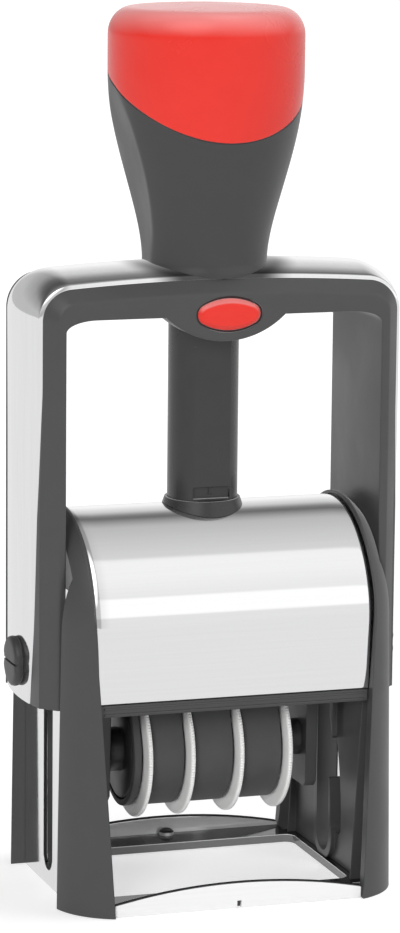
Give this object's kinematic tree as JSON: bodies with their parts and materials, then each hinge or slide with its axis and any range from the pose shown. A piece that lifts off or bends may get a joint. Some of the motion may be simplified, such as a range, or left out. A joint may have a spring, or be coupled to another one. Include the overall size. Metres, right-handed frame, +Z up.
{
  "type": "rotary band stamp",
  "caption": "Upright hand stamp: a knob pressed down on a U-shaped bow turns a carrier of adjustable type bands over from an ink pad onto the paper.",
  "frame": {"origin": "middle of the base on the paper", "axes": "+Z up along the column, front with the lock button is -Y, pivot axis along X"},
  "size_m": [0.0758, 0.0514, 0.167],
  "materials": {
    "bright_metal": "satin bright plated sheet",
    "black_plastic": "fine moulded",
    "grey_plastic": "fine moulded",
    "grip_plastic": "soft matte",
    "red_plastic": "semi gloss",
    "bush_plastic": "natural",
    "pad_felt": "inked felt",
    "band_rubber": "matte",
    "white_plastic": "moulded, knurled",
    "steel": "bright steel"
  },
  "bodies": {
    "base": {"base_ring": "bright_metal", "side_plate_left": "bright_metal", "side_plate_right": "bright_metal", "left_side_frame": "black_plastic", "right_side_frame": "black_plastic", "pad_cover": "bright_metal", "cover_liner": "black_plastic", "pad_tray": "grey_plastic", "ink_pad": "pad_felt", "housing_bridge": "grey_plastic", "guide_column": "grey_plastic", "column_collar": "black_plastic", "column_screw": "steel", "return_spring": "steel"},
    "bow": {"bow_frame": "grey_plastic", "bow_band": "bright_metal", "guide_bush": "bush_plastic", "handle_grip": "grip_plastic", "handle_cap": "red_plastic", "push_rod": "steel", "handle_screws": "steel", "pivot_pins": "steel", "pivot_caps": "black_plastic", "button_spring": "steel"},
    "carrier": {"carrier_cheek_left": "grey_plastic", "carrier_cheek_right": "grey_plastic", "follower_pins": "steel", "wheel_axle": "steel", "axle_clips": "steel", "axle_spacer": "grey_plastic", "print_bridge": "grey_plastic", "type_band_1": "band_rubber", "type_band_2": "band_rubber", "type_band_3": "band_rubber", "type_band_4": "band_rubber"},
    "lock": {"lock_button": "red_plastic"},
    "wheel_1": {"thumb_wheel_1": "white_plastic"},
    "wheel_2": {"thumb_wheel_2": "white_plastic"},
    "wheel_3": {"thumb_wheel_3": "white_plastic"},
    "wheel_4": {"thumb_wheel_4": "white_plastic"}
  },
  "joints": [
    {"name": "press", "type": "slide", "parent": "base", "child": "bow", "axis": [0, 0, -1], "range_m": [0, 0.035], "stiffness_N_per_m": 450, "springref_m": -0.03, "deforming": ["return_spring"]},
    {"name": "flip", "type": "hinge", "parent": "bow", "child": "carrier", "pos_m": [0, 0, 0.0442], "axis": [1, 0, 0], "range_deg": [0, 180]},
    {"name": "lock_press", "type": "slide", "parent": "bow", "child": "lock", "axis": [0, 1, 0], "range_m": [0, 0.0015], "stiffness_N_per_m": 400, "springref_m": -0.002, "deforming": ["button_spring"]},
    {"name": "wheel_1_turn", "type": "hinge", "parent": "carrier", "child": "wheel_1", "pos_m": [-0.0139, 0, 0.0258], "axis": [1, 0, 0], "continuous": true},
    {"name": "wheel_2_turn", "type": "hinge", "parent": "carrier", "child": "wheel_2", "pos_m": [-0.0055, 0, 0.0258], "axis": [1, 0, 0], "continuous": true},
    {"name": "wheel_3_turn", "type": "hinge", "parent": "carrier", "child": "wheel_3", "pos_m": [0.0042, 0, 0.0258], "axis": [1, 0, 0], "continuous": true},
    {"name": "wheel_4_turn", "type": "hinge", "parent": "carrier", "child": "wheel_4", "pos_m": [0.0139, 0, 0.0258], "axis": [1, 0, 0], "continuous": true}
  ],
  "couplings": [
    {"joint": "flip", "follows": "press", "rad_per_m": 89.759}
  ]
}
